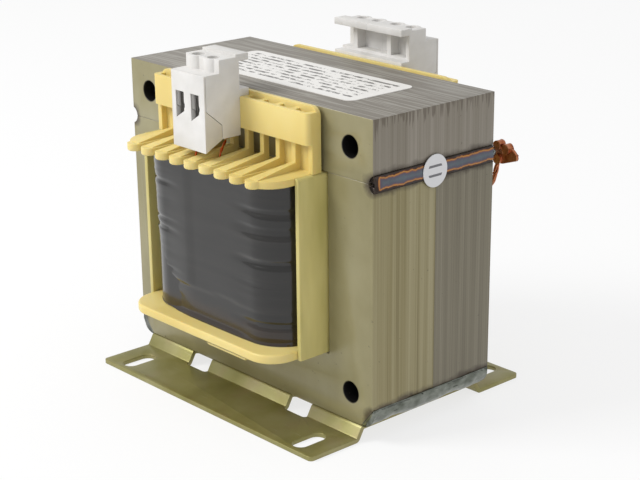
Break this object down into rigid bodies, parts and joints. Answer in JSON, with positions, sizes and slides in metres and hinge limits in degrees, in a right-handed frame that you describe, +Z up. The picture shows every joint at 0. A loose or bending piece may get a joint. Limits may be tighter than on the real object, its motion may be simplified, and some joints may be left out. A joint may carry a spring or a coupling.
{
  "type": "chassis transformer",
  "caption": "Laminated chassis transformer on a folded slotted base plate, with a comb-flanged bobbin, tape-wrapped windings and screw clamp terminals.",
  "frame": {"origin": "on the underside of the feet, below the middle of the core", "axes": "+X along the core's width, -Y towards the face with the two-pole terminal block, +Z up"},
  "size_m": [0.121, 0.1006, 0.1179],
  "materials": {
    "core_front_steel": "varnish-dipped lamination face",
    "core_edge_steel": "stacked lamination edges under varnish",
    "weld_bead": "heat-tinted weld bead",
    "zinc_plate": "yellow zinc passivated sheet",
    "bobbin_nylon": "moulded glass-filled nylon, cream yellow",
    "enamelled_copper": "enamelled copper turns",
    "insulation_film": "layer insulation film",
    "black_tape": "varnished black winding tape",
    "terminal_grey": "light grey moulded polyamide",
    "clamp_steel": "zinc plated clamp and screw",
    "terminal_brass": "tinned brass tag",
    "lead_enamel": "orange red enamelled wire",
    "bare_copper": "bare and crimped copper",
    "zinc_clip": "zinc plated clip",
    "label_film": "satin white film label",
    "sticker_paper": "matt white round sticker"
  },
  "bodies": {
    "root": {"e_stack_front": "core_front_steel", "e_stack_rear": "core_edge_steel", "i_stack": "core_edge_steel", "seam_weld_left": "weld_bead", "seam_weld_right": "weld_bead", "base_weld_left": "weld_bead", "base_weld_right": "weld_bead", "base_plate": "zinc_plate", "bobbin": "bobbin_nylon", "window_shield_left": "bobbin_nylon", "window_shield_right": "bobbin_nylon", "primary_winding": "enamelled_copper", "interwinding_insulation": "insulation_film", "secondary_winding": "enamelled_copper", "outer_tape": "black_tape", "front_terminal_housing": "terminal_grey", "front_terminal_cover": "terminal_grey", "rear_terminal_housing_left": "terminal_grey", "rear_terminal_cover_left": "terminal_grey", "rear_terminal_housing_right": "terminal_grey", "rear_terminal_cover_right": "terminal_grey", "clamp_cages": "clamp_steel", "clamp_screws": "clamp_steel", "terminal_tags": "terminal_brass", "primary_lead_left": "lead_enamel", "primary_lead_right": "lead_enamel", "secondary_leads": "lead_enamel", "heavy_lead": "bare_copper", "heavy_lead_lug": "bare_copper", "lug_clip": "zinc_clip", "rating_label": "label_film", "round_sticker": "sticker_paper"}
  },
  "joints": []
}
